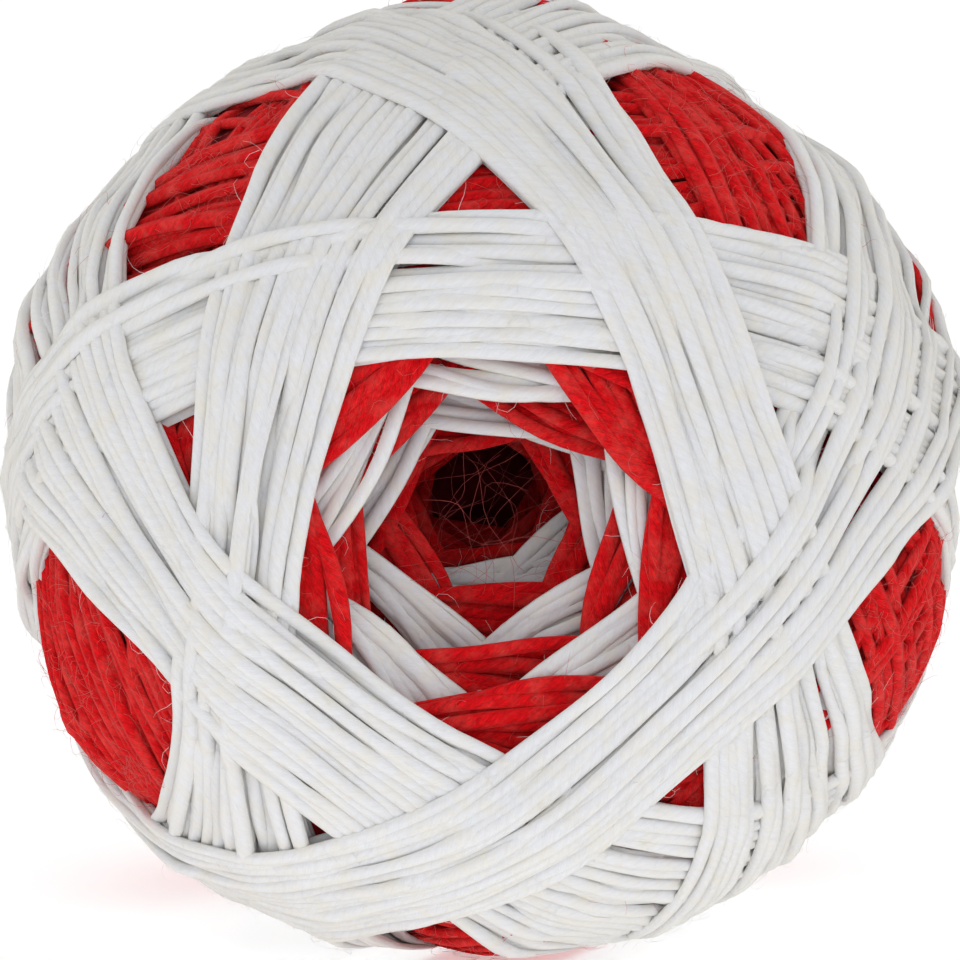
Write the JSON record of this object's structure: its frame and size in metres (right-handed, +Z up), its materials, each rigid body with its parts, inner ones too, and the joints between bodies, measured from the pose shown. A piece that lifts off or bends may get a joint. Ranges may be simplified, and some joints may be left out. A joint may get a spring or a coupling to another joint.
{
  "type": "ball of sock yarn",
  "caption": "Oval ball of wool sock yarn wound in crossing bands, with a tapering centre-pull hole at one end and a small flat underneath.",
  "frame": {"origin": "middle of the ball's underside, on the surface that it rests on", "axes": "+Z up, winding axis along Y with the open end of the hole towards -Y, +X to the right of that end"},
  "size_m": [0.093, 0.1106, 0.0893],
  "materials": {
    "sock_yarn": "soft, fuzzy plied wool in off-white and red lengths"
  },
  "bodies": {
    "root": {"yarn_ball": "sock_yarn"}
  },
  "joints": []
}
